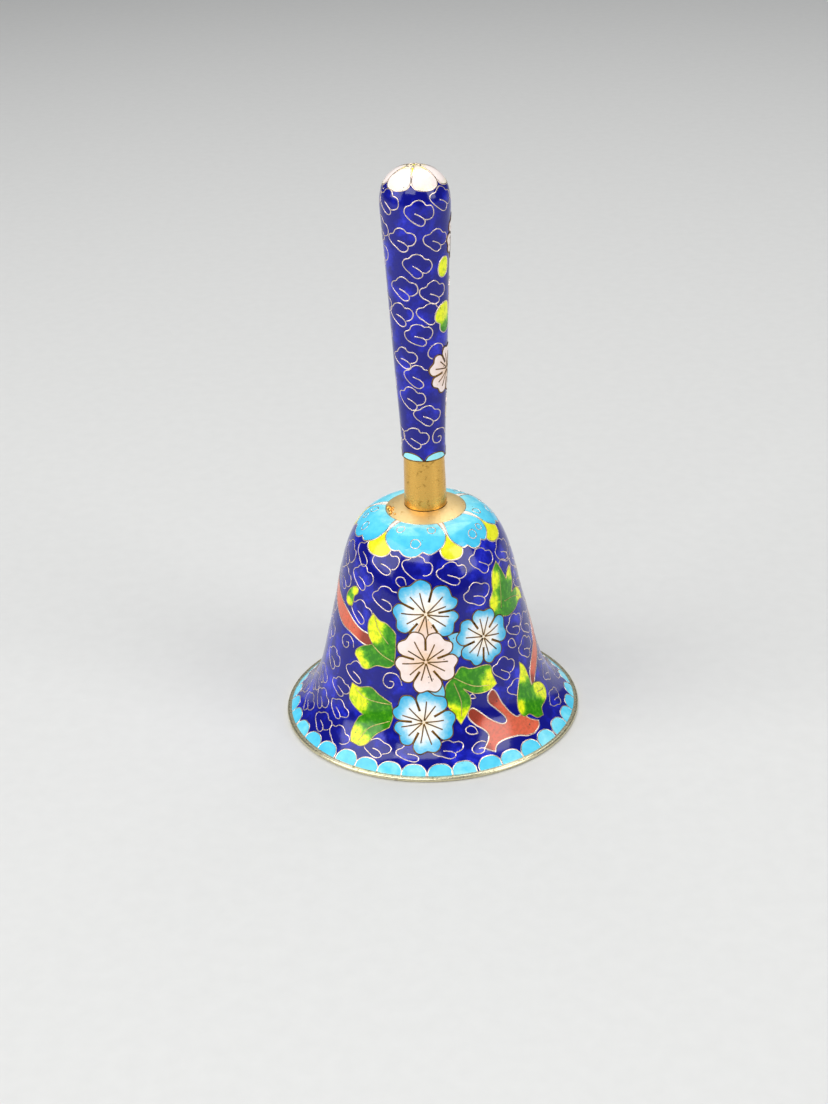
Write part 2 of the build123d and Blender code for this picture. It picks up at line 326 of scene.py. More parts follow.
# A wire stands from its foot, under the ground, to a low crown, and is mitred at a bend by so much at most.
WIRE_FOOT, WIRE_CROWN, MITRE_LIMIT = -0.05, 0.012, 1.7
EDGE_WIRE, STAMEN_WIRE, BAR_WIRE = 0.3, 0.34, 0.62
# Height of the flowers over the ground, and of a wire over its cell.
FLOWER_LIFT, LAYER = 0.09, 0.03
chance = random.Random(7)
# Outlines of the cells laid so far, which hide what is laid later.
taken = []


def drawn(marks, closed=True, step=LINE_STEP):
    """A smooth line through marks in mm, at even steps. A mark ending in TIP is a sharp bend."""
    places = np.array([mark[:2] for mark in marks], float)
    sharp = [len(mark) > 2 for mark in marks]
    count = len(places)
    line = []
    for k in range(count if closed else count - 1):
        start, end = places[k], places[(k + 1) % count]
        before = None if sharp[k] or (not closed and k == 0) else places[k - 1]
        last = sharp[(k + 1) % count] or (not closed and k == count - 2)
        after = None if last else places[(k + 2) % count]
        span = math.dist(start, end)
        ways = [end - (start if before is None else before), (end if after is None else after) - start]
        ways = [way / max(np.hypot(*way), 1e-9) * span for way in ways]
        steps = max(2, round(span / step))
        t = (np.arange(steps) / steps)[:, None]
        line.append(smooth_span(start, end, *ways, t))
    if not closed:
        line.append(places[-1:])
    return np.vstack(line)


def on_wall(wall, place, shape):
    """Spots of a wall for a shape in mm about a place on it."""
    along = place[1] + shape[:, 1]
    return np.column_stack((place[0] + np.degrees(shape[:, 0] / wall.radius(along)), along))


def traced(wall, marks, closed=True):
    """Spots along a smooth line through marks that are themselves (angle, along) spots."""
    base = wall.radius(np.mean([mark[1] for mark in marks]))
    line = drawn([(math.radians(mark[0]) * base, *mark[1:]) for mark in marks], closed)
    return np.column_stack((np.degrees(line[:, 0] / base), line[:, 1]))


def within(spots, outline):
    """Which spots lie inside an outline."""
    x, y = spots[:, 0][:, None], spots[:, 1][:, None]
    x0, y0 = outline.T
    x1, y1 = np.roll(outline, -1, axis=0).T
    rise = np.where(y1 == y0, 1e-12, y1 - y0)
    crossed = ((y0 > y) != (y1 > y)) & (x < x0 + (y - y0) / rise * (x1 - x0))
    return crossed.sum(axis=1) % 2 == 1


def clear_runs(line, closed, outlines):
    """The runs of a line that no other cell covers."""
    covered = np.zeros(len(line), bool)
    low, high = line.min(0), line.max(0)
    for outline in outlines:
        if (outline.min(0) <= high).all() and (outline.max(0) >= low).all():
            covered |= within(line, outline)
    if not covered.any():
        return [(line, closed)]
    if covered.all():
        return []
    if closed:
        turn = int(np.argmax(covered))
        line, covered = np.roll(line, -turn, axis=0), np.roll(covered, -turn)
    runs, start = [], None
    for k, hidden in enumerate(list(covered) + [True]):
        if not hidden and start is None:
            start = k
        if hidden and start is not None:
            if k - start > 4:
                runs.append((line[start:k], False))
            start = None
    return runs


def cell(making, wall, outline, lift, shade, step=CELL_STEP, pole=False):
    """Fills an outline with enamel: a fine net of triangles that follows the wall, and its edge below.

    shade gives the tone at each spot. pole says that the cell lies about the top of a dome.
    """
    base = wall.radius(outline[:, 1].mean())
    if pole:
        flat = hoop(wall.length - outline[:, 1], np.radians(outline[:, 0]), 0)[:, :2]
    else:
        flat = np.column_stack((np.radians(outline[:, 0]) * base, outline[:, 1]))
    low, high = flat.min(0), flat.max(0)
    columns, rows = [np.arange(low[k] + step / 2, high[k], step) for k in (0, 1)]
    net = np.stack(np.meshgrid(columns, rows), -1).reshape(-1, 2)
    net = net[within(net, flat)]
    if len(net):
        gaps = np.hypot(*(net[:, None] - flat[None]).transpose(2, 0, 1)).min(axis=1)
        net = net[gaps > step * 0.45]
    count = len(flat)
    marks = [Vector(mark) for mark in np.vstack((flat, net))]
    ring = [(k, (k + 1) % count) for k in range(count)]
    placed, _, faces, *_ = delaunay_2d_cdt(marks, ring, [], 1, 1e-5)
    placed = np.array([list(mark) for mark in placed])
    if pole:
        spots = np.column_stack((np.degrees(np.arctan2(placed[:, 1], placed[:, 0])),
                                 wall.length - np.hypot(*placed.T)))
    else:
        spots = np.column_stack((np.degrees(placed[:, 0] / base), placed[:, 1]))
    making.add(wall.points(spots, lift)[0], faces, shade(spots))
    edge = np.vstack((wall.points(outline, WIRE_FOOT)[0], wall.points(outline, lift)[0]))
    making.add(edge, tiles(2, count), np.tile(shade(outline), 2))


def even(tone):
    """A shade for cell that is one tone all over."""
    return lambda spots: np.full(len(spots), tone)


def unit(ways):
    return ways / (np.linalg.norm(ways, axis=1)[:, None] + 1e-12)


def wire(making, wall, line, width, top, closed=False):
    """A flat wire bent to a line and standing on its edge, polished to a low crown."""
    feet, faces = wall.points(line)
    if closed:
        steps = np.roll(feet, -1, axis=0) - feet
        before = np.roll(steps, 1, axis=0)
    else:
        steps = np.diff(feet, axis=0)
        before, steps = np.vstack((steps[:1], steps)), np.vstack((steps, steps[-1:]))
    steps, before = unit(steps), unit(before)
    ways = unit(steps + before)
    spread = np.clip(1 / np.maximum((ways * steps).sum(axis=1), 0.01), 1, MITRE_LIMIT)[:, None]
    sides = np.cross(faces, ways) * spread * width / 2
    shoulder = top - WIRE_CROWN
    section = ((-1.0, WIRE_FOOT), (-0.85, shoulder), (0.0, top), (0.85, shoulder), (1.0, WIRE_FOOT))
    strands = [feet + sides * across + faces * lift for across, lift in section]
    count, wide = len(line), len(section)
    quads = []
    for k in range(count if closed else count - 1):
        ahead = (k + 1) % count
        for this in range(0, (wide - 1) * count, count):
            quads.append((this + k, this + count + k, this + count + ahead, this + ahead))
    if not closed:
        quads.append([strand * count for strand in range(wide)][::-1])
        quads.append([strand * count + count - 1 for strand in range(wide)])
    making.add(np.vstack(strands), quads)


def clear_wire(wires, wall, line, closed, width, top, upper):
    """A wire along a line, as far as no upper cell covers it."""
    for run, whole in clear_runs(line, closed, upper):
        wire(wires, wall, run, width, top, whole)


def inlay(cells, wires, wall, outline, lift, shade, width, inner=()):
    """A cell of enamel with the wire round it and those inside, which then hides what is laid later."""
    cell(cells, wall, outline, lift, shade)
    for line, closed, breadth in ((outline, True, width), *inner):
        clear_wire(wires, wall, line, closed, breadth, lift + LAYER, taken)
    taken.append(outline)


def around(degrees, distance):
    return (distance * math.cos(math.radians(degrees)), distance * math.sin(math.radians(degrees)))


def blossom_marks(radius, petals):
    """Marks round a blossom: every petal has two lobes with a notch between, and a gap to the next."""
    marks = []
    for k, petal in enumerate(petals):
        back = ((petal - petals[k - 1]) % 360) / 2
        ahead = ((petals[(k + 1) % len(petals)] - petal) % 360) / 2
        swell = radius * chance.uniform(0.96, 1.03)
        marks += [(*around(petal - back, radius * 0.68), TIP), around(petal - back * 0.84, swell * 0.88),
                  around(petal - back * 0.45, swell), (*around(petal, swell * 0.91), TIP),
                  around(petal + ahead * 0.45, swell), around(petal + ahead * 0.84, swell * 0.88)]
    return marks


def blossom(cells, wires, wall, place, radius, petals, lift, stamen_turn=14, width=EDGE_WIRE):
    """One blossom on a wall: its cell, its outline, a bar in each gap and two stamens on each petal."""
    outline = on_wall(wall, place, drawn(blossom_marks(radius, petals)))

    def shade(spots):
        across = np.radians(spots[:, 0] - place[0]) * wall.radius(spots[:, 1])
        return np.hypot(across, spots[:, 1] - place[1]) / radius

    lines = []
    for k, petal in enumerate(petals):
        gap = petal + ((petals[(k + 1) % len(petals)] - petal) % 360) / 2
        lines.append(([around(gap, radius * 0.36), around(gap, radius * 0.72)], BAR_WIRE))
        for turn in (-stamen_turn, stamen_turn):
            reach = radius * chance.uniform(0.6, 0.74)
            bend = turn * chance.uniform(0.85, 1.1)
            stamen = [around(petal + turn * 0.5, radius * 0.05), around(petal + bend * 0.9, reach * 0.55),
                      around(petal + bend, reach)]
            lines.append((stamen, STAMEN_WIRE))
    inner = [(on_wall(wall, place, drawn(marks, False)), False, breadth) for marks, breadth in lines]
    inlay(cells, wires, wall, outline, lift, shade, width, inner)


# White enamel wet-shaded into turquoise, polished.
enamel_blossom = fired_enamel("enamel_white_to_turquoise",
                              [(0.0, "FFE9C4"), (0.3, "FFF9EE"), (0.55, "F2FAFF"), (0.74, "86D4F0"),
                               (0.9, "46B8E6")], 0.12, 0.1, (1.4, 0.06))
# White enamel tinted with a little gold red, polished: warm and milky.
enamel_pink = fired_enamel("enamel_pink_white", [(0.0, "F7CFA4"), (0.45, "FBE3D6"), (1.0, "FDEEEA")],
                           0.12, 0.12, (1.6, 0.05))
# Copper wire under the flowers, left ungilt: brown, polished only on its crown.
wire_brown = rubbed_metal("copper_wire_brown", "82602E", "32220E", 0.34, 1.2, 0.62)

TURQUOISE_BLOSSOMS = (
    ((-92.4, 39.3), 7.9, (-22, 31, 118, 195, 262)),
    ((-57.4, 31.8), 6.8, (2, 79, 154, 228, 292)),
    ((-94.7, 13.9), 7.5, (-11, 67, 150, 210, 277)),
)
flower_wires = Making()
pink_cells, blossom_cells = Making(), Making()
blossom(pink_cells, flower_wires, body_wall, (-93.0, 28.1), 7.45, (-15, 48, 132, 203, 272),
        FLOWER_LIFT + LAYER, stamen_turn=16, width=STAMEN_WIRE)
for place, radius, petals in TURQUOISE_BLOSSOMS:
    blossom(blossom_cells, flower_wires, body_wall, place, radius, petals, FLOWER_LIFT)
# The lowest petal of the upper blossom is peach as well.
PEACH_PETAL = ((-101.5, 33.8, TIP), (-98.5, 36), (-93, 38.9, TIP), (-87, 36.2), (-83, 34, TIP), (-92, 32.6))
cell(pink_cells, body_wall, traced(body_wall, PEACH_PETAL), FLOWER_LIFT + LAYER / 2,
     lambda spots: np.clip((38.5 - spots[:, 1]) / 10, 0.1, 0.6))

# Two loose petals that show between the blossoms.
LOOSE_PETALS = (
    ((-80, 34, TIP), (-72, 34.2), (-70.5, 32), (-74, 28.6), (-80.5, 29.4, TIP), (-78.5, 32)),
    ((-84.7, 23.6, TIP), (-83.3, 20.2), (-85.9, 18.6), (-90, 20), (-92, 21.3, TIP), (-87, 22.2)),
)
for marks in LOOSE_PETALS:
    inlay(blossom_cells, flower_wires, body_wall, traced(body_wall, marks), FLOWER_LIFT - LAYER, even(0.78),
          EDGE_WIRE)
blossom_cells.finished("blossoms_white_turquoise", enamel_blossom, "white_enamel", ["flower_inlays"])
pink_cells.finished("blossom_pink_white", enamel_pink, "white_enamel")
flower_wires.finished("blossom_wires", wire_brown, "gilt_brass")

# ----------------------------------------
# Leaves of the body: grass green glass with clear yellow let into the tips while wet. Gilt wire draws
# the edge and the veins.

LEAF_LIFT = 0.06
LEAF_WIRE, VEIN_WIRE = 0.24, 0.21


def nearness(wall, spots, places):
    """How near spots are to the nearest of some (angle, along, reach) places, from 0 to 1."""
    near = np.zeros(len(spots))
    for angle, along, reach in places:
        across = np.radians(spots[:, 0] - angle) * wall.radius(spots[:, 1])
        near = np.maximum(near, 1 - np.hypot(across, spots[:, 1] - along) / reach)
    return np.clip(near * 2, 0, 1)


def leaf(cells, wires, wall, marks, veins, sunny):
    """A leaf: its outline, its veins and the (angle, along, reach) places where it turns yellow."""
    inner = [(traced(wall, vein, False), False, VEIN_WIRE) for vein in veins]
    inlay(cells, wires, wall, traced(wall, marks), LEAF_LIFT, lambda spots: nearness(wall, spots, sunny),
          LEAF_WIRE, inner)


# Transparent green over white, polished, running into lemon yellow.
enamel_leaf = fired_enamel("enamel_leaf_green",
                           [(0.0, "2F8A04"), (0.45, "66B810"), (0.75, "C4E80C"), (1.0, "F4FA18")],
                           0.12, 0.3, (1.1, 0.2), 0.12)
# Gilt wire, ground flush and polished: pale pinkish gold that catches the light.
wire_gilt = rubbed_metal("gilt_wire", "F2DDCC", "B49A80", 0.26, 1.5, 0.35)
# The same wire where the green glass has stained it: olive gold.
wire_olive = rubbed_metal("gilt_wire_olive", "D2C078", "6E6834", 0.28, 1.2, 0.5)

LEAVES = (
    # Left of the middle blossom, two lobes.
    (((-127.3, 37.8, TIP), (-122, 36.5), (-117.5, 36.2), (-113, 35), (-110.9, 34, TIP), (-110.7, 29.7),
      (-111, 27, TIP), (-114, 26), (-121.6, 25.8), (-129.2, 24.2), (-135, 25.8), (-137.8, 27), (-134.7, 28.8),
      (-125.6, 30.6, TIP), (-129.5, 32.7), (-130.2, 35.5)),
     (((-126, 37.3), (-122.8, 34.6), (-115.3, 31.5)), ((-125.6, 30.4), (-119, 28.7), (-111.4, 27.5))),
     ((-126, 35.8, 4.0), (-124.5, 33, 3.0), (-135.5, 26.4, 3.0), (-130, 24.8, 2.4))),
    # Lower left, two lobes.
    (((-136.9, 19.6, TIP), (-131.6, 19.4), (-124.2, 20.3), (-118.8, 19.1), (-111.7, 17.7, TIP), (-110.2, 15),
      (-111.6, 12, TIP), (-117.7, 9.8), (-122.8, 6.5), (-129.4, 6.5, TIP), (-130.9, 9.1), (-129, 12.4),
      (-126.7, 13.4, TIP), (-132.2, 14.3), (-137.5, 16.2)),
     (((-134.7, 18.9), (-126.7, 17.4), (-112, 17.3)), ((-125.7, 7.3), (-122, 10.8), (-111.9, 13.4))),
     ((-136, 18.5, 4.2), (-130, 16, 3.4), (-129, 7.5, 4.6), (-123, 7.5, 2.6))),
    # Upper right, with a side shoot.
    (((-34.6, 47.1, TIP), (-41, 45.4), (-44, 43), (-44.6, 41.2), (-48.9, 38.8), (-47.5, 36.4),
      (-45.2, 34.3, TIP), (-40.6, 34.4), (-34, 33.6), (-25.2, 33.8), (-17.5, 34.5), (-10.5, 33.6, TIP),
      (-11.5, 35.9), (-17, 37.7), (-25.5, 38, TIP), (-21.1, 40), (-18.9, 43.8, TIP), (-25, 43.1),
      (-28.3, 41.7, TIP), (-31.4, 44.6)),
     (((-34.2, 45), (-36.9, 40.7), (-39.9, 36.4)), ((-35.6, 37.4), (-26, 36.9), (-15.6, 35.2))),
     ((-42.5, 43.5, 3.4), (-46.5, 38.5, 3.0), (-20.5, 42.6, 3.0), (-14, 35.4, 3.4))),
    # Right of the middle, two lobes.
    (((-80.7, 23.2, TIP), (-76.8, 24.7), (-73.4, 26.1), (-68.6, 25.3), (-56.5, 24.8), (-55.6, 22.4),
      (-53.9, 19.9, TIP), (-59.4, 19), (-67, 19.2), (-73.4, 20.9, TIP), (-70.3, 18.8), (-70.9, 16.4),
      (-76.6, 12.8, TIP), (-81.2, 16.5), (-83.7, 18.8), (-82.6, 22.2)),
     (((-78.5, 24), (-67.8, 21.1), (-58.5, 20.2)), ((-78.4, 22.8), (-75.4, 18.3), (-75.8, 14.6))),
     ((-55.5, 21, 4.2), (-75, 13.6, 4.4), (-80.5, 16.5, 2.2))),
    # Lower right, with a long spike and a round bud.
    (((-34.4, 21.7, TIP), (-31.1, 20), (-29.4, 16.9), (-29.2, 14.6, TIP), (-25, 14.3), (-20, 13), (-17.7, 11),
      (-20.5, 9.4), (-24.4, 8.9), (-28.9, 8.5), (-31, 7.0, TIP), (-35.2, 7.5), (-38.5, 9.3), (-42.5, 9.6),
      (-44.2, 11.5), (-42.5, 14.2), (-39.3, 16.8), (-36, 19.2)),
     (((-26.5, 12.1), (-22, 11.5), (-18.6, 11.4)),),
     ((-33, 19.5, 4.2), (-24.5, 12.6, 3.0), (-21, 10.8, 3.2), (-42.5, 12, 2.4))),
    # Small bud at the left branch.
    (((-151.6, 37), (-154, 37.8), (-153.6, 39.5), (-150, 41.2), (-145.5, 42.2), (-142.2, 41.7),
      (-142.7, 40.8), (-145.6, 39.7), (-145.9, 38.4), (-147, 37.2)),
     (), ((-143.5, 41.2, 2.6), (-150.5, 37.6, 2.0))),
)
leaf_cells, leaf_wires = Making(), Making()
for marks, veins, sunny in LEAVES:
    leaf(leaf_cells, leaf_wires, body_wall, marks, veins, sunny)
leaf_cells.finished("leaves_green_yellow", enamel_leaf, "green_enamel", ["leaf_inlays"])
leaf_wires.finished("leaf_wires", wire_olive, "gilt_brass")

# ----------------------------------------
# Branches of the body: coral red glass that the kiln has made grainy, darker towards the twig ends,
# in an outline of gilt wire.

BRANCH_LIFT = 0.03
BRANCH_WIRE = 0.36
# Coral enamel, polished: opaque, speckled brick and rose.
enamel_coral = fired_enamel("enamel_coral", [(0.0, "E06A4C"), (0.45, "D4553E"), (1.0, "963A28")], 0.13, 0.3,
                            (0.7, 0.3), 0.16)
BRANCHES = (
    # Left branch, which comes round from the side.
    (((-198, 43, TIP), (-186, 38.6), (-171, 34.7), (-155, 31.7), (-144, 31), (-131, 29.8), (-127, 30.4),
      (-126.5, 31.8), (-129.4, 32.6), (-135, 32.9), (-141.5, 33.8), (-149, 35.2), (-157.5, 36.5),
      (-167, 37.8), (-184, 40.6)),
     ((-128, 31.2, 4.5),)),
    # Antler branch, with two prongs and two stubs.
    (((-56.5, 18.8), (-52.6, 14.8), (-46.9, 10.6), (-42.5, 10.2), (-39.7, 8.4), (-35.5, 6.8, TIP),
      (-37.2, 5.7), (-41.5, 5.0, TIP), (-45.8, 5.4), (-50, 6.4), (-58, 6.8), (-62, 6.2), (-63.6, 4.9, TIP),
      (-67.8, 6.3, TIP), (-64.3, 8.6), (-65.4, 10.2), (-69.5, 12), (-72.4, 14), (-71.8, 15.6), (-69, 15.8),
      (-61.3, 12.3), (-55.8, 10.4), (-53.2, 10.5), (-53.4, 11.9), (-57, 14.2), (-60.6, 16.4), (-60, 18)),
     ((-58.6, 17.6, 3.6), (-71, 14.8, 4.4), (-66.5, 6, 1.6))),
    # Right branch, thin, which goes round to the back.
    (((16, 35, TIP), (3, 29.5), (-5, 25.5), (-12, 22.2), (-20, 20.2), (-26.5, 17.6), (-28.8, 14.8, TIP),
      (-25.4, 14.4, TIP), (-22.4, 15.6), (-15, 17.4), (-4.2, 20), (6, 26.5)),
     ((-27, 15.2, 2.4),)),
)
branch_cells, branch_wires = Making(), Making()
for marks, dark in BRANCHES:
    inlay(branch_cells, branch_wires, body_wall, traced(body_wall, marks), BRANCH_LIFT,
          lambda spots, dark=dark: nearness(body_wall, spots, dark), BRANCH_WIRE)
branch_cells.finished("branches_coral", enamel_coral, "coral_enamel", ["branch_inlays"])
branch_wires.finished("branch_wires", wire_gilt, "gilt_brass")

# ----------------------------------------
# Rim border: a row of half-round scallops just above the rim ring, filled with pale turquoise.

SCALLOPS = 36
SCALLOP_TOP = 4.4
SCALLOP_LIFT = 0.015
# Turquoise enamel, polished: opaque and bright, a little paler in streaks.
enamel_turquoise = fired_enamel("enamel_turquoise", [(0.0, "44C6F0"), (0.55, "66DCF8"), (1.0, "A4F2FC")],
                                0.11, 0.22, (2.6, 0.04), 0.07)
scallop_cells, scallop_wires = Making(), Making()
# The leaves and branches lie over the scallops, which hide nothing of each other.
covering = list(taken)
foot = body_wall.reach(RIM_TOP)
half = math.pi * body_wall.radius(foot) / SCALLOPS
for turn in range(SCALLOPS):
    place = (-268 + turn * 360 / SCALLOPS + chance.uniform(-0.5, 0.5), foot)
    rise = (SCALLOP_TOP - foot) * chance.uniform(0.93, 1.07)
    marks = ((-half * 0.97, -0.1, TIP), (-half * 0.93, rise * 0.42), (-half * 0.55, rise * 0.88), (0, rise),
             (half * 0.55, rise * 0.88), (half * 0.93, rise * 0.42), (half * 0.97, -0.1, TIP))
    outline = on_wall(body_wall, place, drawn(marks))
    cell(scallop_cells, body_wall, outline, SCALLOP_LIFT, even(chance.uniform(0.25, 0.75)))
    arch = on_wall(body_wall, place, drawn(marks, False))
    clear_wire(scallop_wires, body_wall, arch, False, EDGE_WIRE, SCALLOP_LIFT + LAYER, covering)
    taken.append(outline)
scallop_cells.finished("rim_scallops", enamel_turquoise, "turquoise_enamel", ["rim_border_enamel"])
scallop_wires.finished("rim_scallop_wires", wire_gilt, "gilt_brass")

# ----------------------------------------
# Collar: lobed turquoise panels round the crown, with yellow fans between their feet and cream wedges
# between their tops. Small rings of wire decorate each panel.

# Lemon enamel, polished: flat and bright.
enamel_yellow = fired_enamel("enamel_lemon", [(0.0, "E8E80A"), (1.0, "FAFA3C")], 0.12, 0.3, (1.2, 0.06))
# Cream enamel, polished.
enamel_cream = fired_enamel("enamel_cream", [(0.0, "FBF3DC"), (1.0, "FFFFFF")], 0.12, 0.3, (1.2, 0.05))
PANEL_EDGES = (-197, -133, -70, -22, 37, 98, 163)
CROWN = body_wall.length
# Outlines as (share of the panel's width from its middle, along), clockwise from the crown.
PANEL = ((-0.43, CROWN, TIP), (-0.455, 59.6), (-0.48, 57.6), (-0.475, 56.2), (-0.43, 55), (-0.36, 54),
         (-0.28, 53.2), (-0.19, 53.4, TIP), (-0.1, 52.3), (0.03, 52.3), (0.12, 53.4, TIP), (0.21, 52.8),
         (0.3, 53.4), (0.39, 54.4), (0.45, 55.8), (0.48, 57.4), (0.455, 59.6), (0.43, CROWN, TIP))
FAN = ((-0.02, 57, TIP), (-0.11, 55.4), (-0.19, 53.9), (-0.185, 52.4), (-0.11, 51.3), (0.0, 51.0),
       (0.11, 51.3), (0.185, 52.4), (0.19, 53.9), (0.11, 55.4), (0.02, 57, TIP))
WEDGE = ((-0.07, CROWN, TIP), (-0.05, 59), (0.0, 56.8, TIP), (0.05, 59), (0.07, CROWN, TIP))
# Rings of wire as (share, along, radius): each panel has the first and one to three of the others.
RINGS = ((0.02, 55.3, 1.1), (-0.29, 58.6, 0.95), (0.27, 58.9, 1.0), (-0.24, 56.2, 0.75), (0.27, 56.0, 0.8))
RING_MARKS = 10
FAN_WIRE, RING_WIRE = 0.34, 0.22


def spread(shape, middle, width):
    return [(middle + mark[0] * width, *mark[1:]) for mark in shape]


collar_cells, collar_yellow, collar_cream, collar_wires = Making(), Making(), Making(), Making()
body_motifs = len(taken)
for low, high in zip(PANEL_EDGES, PANEL_EDGES[1:]):
    middle, width = (low + high) / 2, high - low
    panel = traced(body_wall, spread(PANEL, middle, width))
    cell(collar_cells, body_wall, panel, LEAF_LIFT, lambda spots: np.clip((spots[:, 1] - 53) / 9, 0, 1))
    wire(collar_wires, body_wall, panel, EDGE_WIRE, LEAF_LIFT + LAYER, True)
    taken.append(panel)
    for share, along, size in RINGS[:1] + tuple(chance.sample(RINGS[1:], chance.randint(1, 3))):
        marks = [around(k * 360 / RING_MARKS, size * chance.uniform(0.88, 1.1)) for k in range(RING_MARKS)]
        ring = on_wall(body_wall, (middle + share * width, along), drawn(marks))
        wire(collar_wires, body_wall, ring, RING_WIRE, LEAF_LIFT + LAYER, True)
for edge, width in zip(PANEL_EDGES, np.diff(PANEL_EDGES)):
    wedge = traced(body_wall, spread(WEDGE, edge, width))
    cell(collar_cream, body_wall, wedge, BRANCH_LIFT + 0.01, even(0.5))
    fan = traced(body_wall, spread(FAN, edge, width))
    inlay(collar_yellow, collar_wires, body_wall, fan, BRANCH_LIFT, even(0.4), FAN_WIRE)
# The collar counts a turn further on as well, for clouds placed past the back.
taken += [outline + np.array((360, 0)) for outline in taken[body_motifs:]]
collar_cells.finished("collar_panels", enamel_turquoise, "turquoise_enamel", ["collar_enamel"])
collar_yellow.finished("collar_yellow_fans", enamel_yellow, "green_enamel")
collar_cream.finished("collar_cream_wedges", enamel_cream, "white_enamel")
collar_wires.finished("collar_wires", wire_gilt, "gilt_brass")

# ----------------------------------------
# Clouds of the body: the ground is held by many small cloud scrolls of gilt wire, each bent by hand
# from one length whose end hooks inwards. Teardrops and curls fill what is left.

CLOUD_LIFT = 0.025
CLOUD_WIRE = 0.25
CLOUD_STEP = 0.34
# How unevenly the clouds are bent: their turn in degrees and the wander of each mark, as a share.
CLOUD_TURN, CLOUD_WANDER = 9, 0.014
# Shares of the clouds that are curls, and that have a teardrop beside them.
CURL_SHARE, DROP_SHARE = 0.07, 0.14
# A cloud keeps off a chosen one by these shares of its size and of the gap between rows.
NEAR_ACROSS, NEAR_UP = 0.84, 0.78
# One cloud, 1 wide, from the end of its hook round to where it closes.
CLOUD = ((-0.15, -0.02), (0.05, -0.1), (0.2, -0.22), (0.21, -0.34), (0.1, -0.42), (-0.05, -0.39),
         (-0.22, -0.27), (-0.4, -0.14), (-0.5, 0.03), (-0.45, 0.17), (-0.29, 0.24), (-0.2, 0.35),
         (-0.03, 0.42), (0.13, 0.37), (0.23, 0.26), (0.4, 0.23), (0.5, 0.07), (0.46, -0.1), (0.34, -0.2),
         (0.22, -0.22))
# An open curl and a teardrop, to the same measure.
CURL = ((-0.02, 0.02), (0.1, 0.04), (0.15, -0.07), (0.05, -0.2), (-0.15, -0.17), (-0.25, 0.02), (-0.15, 0.25),
        (0.1, 0.33), (0.32, 0.22), (0.42, 0.0))
DROP = ((0.2, -0.18, TIP), (0.0, -0.16), (-0.17, -0.02), (-0.14, 0.14), (0.03, 0.17), (0.15, 0.04),
        (0.2, -0.18, TIP))


def cloud(shape, size, tall):
    """One scroll of wire, bent a little differently each time."""
    turn = math.radians(chance.uniform(-CLOUD_TURN, CLOUD_TURN))
    tall *= chance.uniform(0.93, 1.07)
    marks = []
    for mark in shape:
        x = size * (mark[0] + chance.uniform(-CLOUD_WANDER, CLOUD_WANDER))
        y = size * (mark[1] * tall + chance.uniform(-CLOUD_WANDER, CLOUD_WANDER))
        marks.append((x * math.cos(turn) - y * math.sin(turn), x * math.sin(turn) + y * math.cos(turn),
                      *mark[2:]))
    return drawn(marks, False, CLOUD_STEP)


def bend(wires, wall, place, shape, size, tall):
    """Sets one scroll on a wall, as far as no cell covers it."""
    line = on_wall(wall, place, cloud(shape, size, tall))
    if not any(within(line.mean(0)[None], outline)[0] for outline in taken):
        for run, _ in clear_runs(line, False, taken):
            if len(run) > len(line) / 4:
                wire(wires, wall, run, CLOUD_WIRE, CLOUD_LIFT)


def cloudy_ground(wires, wall, low, high, chosen, size, tall, gap, row_gap):
    """Fills a wall with clouds: some in chosen places, the rest in staggered rows between two lengths."""

    def crowded(place):
        radius = wall.radius(place[1])
        return any(abs(math.radians(place[0] - other[0]) * radius) < NEAR_ACROSS * size
                   and abs(place[1] - other[1]) < NEAR_UP * row_gap for other in chosen)

    for place in chosen:
        bend(wires, wall, place, place[2] if len(place) > 2 else CLOUD, size, tall)
    rows = round((high - low) / row_gap)
    for row in range(rows):
        along = low + (row + 0.5) * (high - low) / rows
        count = round(2 * math.pi * wall.radius(along) / gap)
        for k in range(count):
            angle = -268 + (k + 0.5 * (row % 2) + chance.uniform(-0.07, 0.07)) * 360 / count
            place = (angle, along + chance.uniform(-0.11, 0.11) * row_gap)
            if crowded(place):
                continue
            shape = CURL if chance.random() < CURL_SHARE else CLOUD
            bend(wires, wall, place, shape, size * chance.uniform(0.92, 1.05), tall)
            if chance.random() < DROP_SHARE:
                place = (angle + 180 / count, along + row_gap * chance.uniform(0.38, 0.5))
                if not crowded(place):
                    bend(wires, wall, place, DROP, size * chance.uniform(0.4, 0.6), 1.0)


# Clouds in chosen places, as (angle, along): flatter ones on the flare of the mouth, taller ones above it.
FLARE_CLOUDS = ((-169, 7), (-159, 11), (-150, 7), (-143, 12), (-137, 6.5), (-146, 17), (-168, 15.5),
                (-116, 6.8), (-100, 6.8), (-84, 7.4), (-70, 6.4, CURL), (-72, 11, DROP), (-15, 7), (-6, 12))
WAIST_CLOUDS = ((-165, 48), (-143, 50.5), (-123, 50), (-98, 49.8), (-73, 48), (-47, 49), (-21, 48),
                (-162, 42), (-141, 45), (-109, 46.3, DROP), (-119, 42), (-57, 42), (-138, 37), (-30, 30.5),
                (-37, 27, DROP), (-15, 28), (-147, 28, CURL), (-158, 22), (-135, 22.5), (-113, 22.6, CURL),
                (-47, 22.5), (-24, 23.5))
FLARE_TOP, WAIST_TOP = 19, 52.4
body_clouds = Making()
cloudy_ground(body_clouds, body_wall, SCALLOP_TOP + 0.2, FLARE_TOP, FLARE_CLOUDS,
              size=7.1, tall=0.74, gap=8.4, row_gap=4.9)
cloudy_ground(body_clouds, body_wall, FLARE_TOP, WAIST_TOP, WAIST_CLOUDS,
              size=7.1, tall=0.93, gap=8.4, row_gap=5.6)
body_clouds.finished("body_cloud_wires", wire_gilt, "gilt_brass")

# ----------------------------------------
# Crown disc: a brass washer, domed and gilt, that closes the crown and carries the handle. Its gilding
# is satin, because nothing has rubbed it.

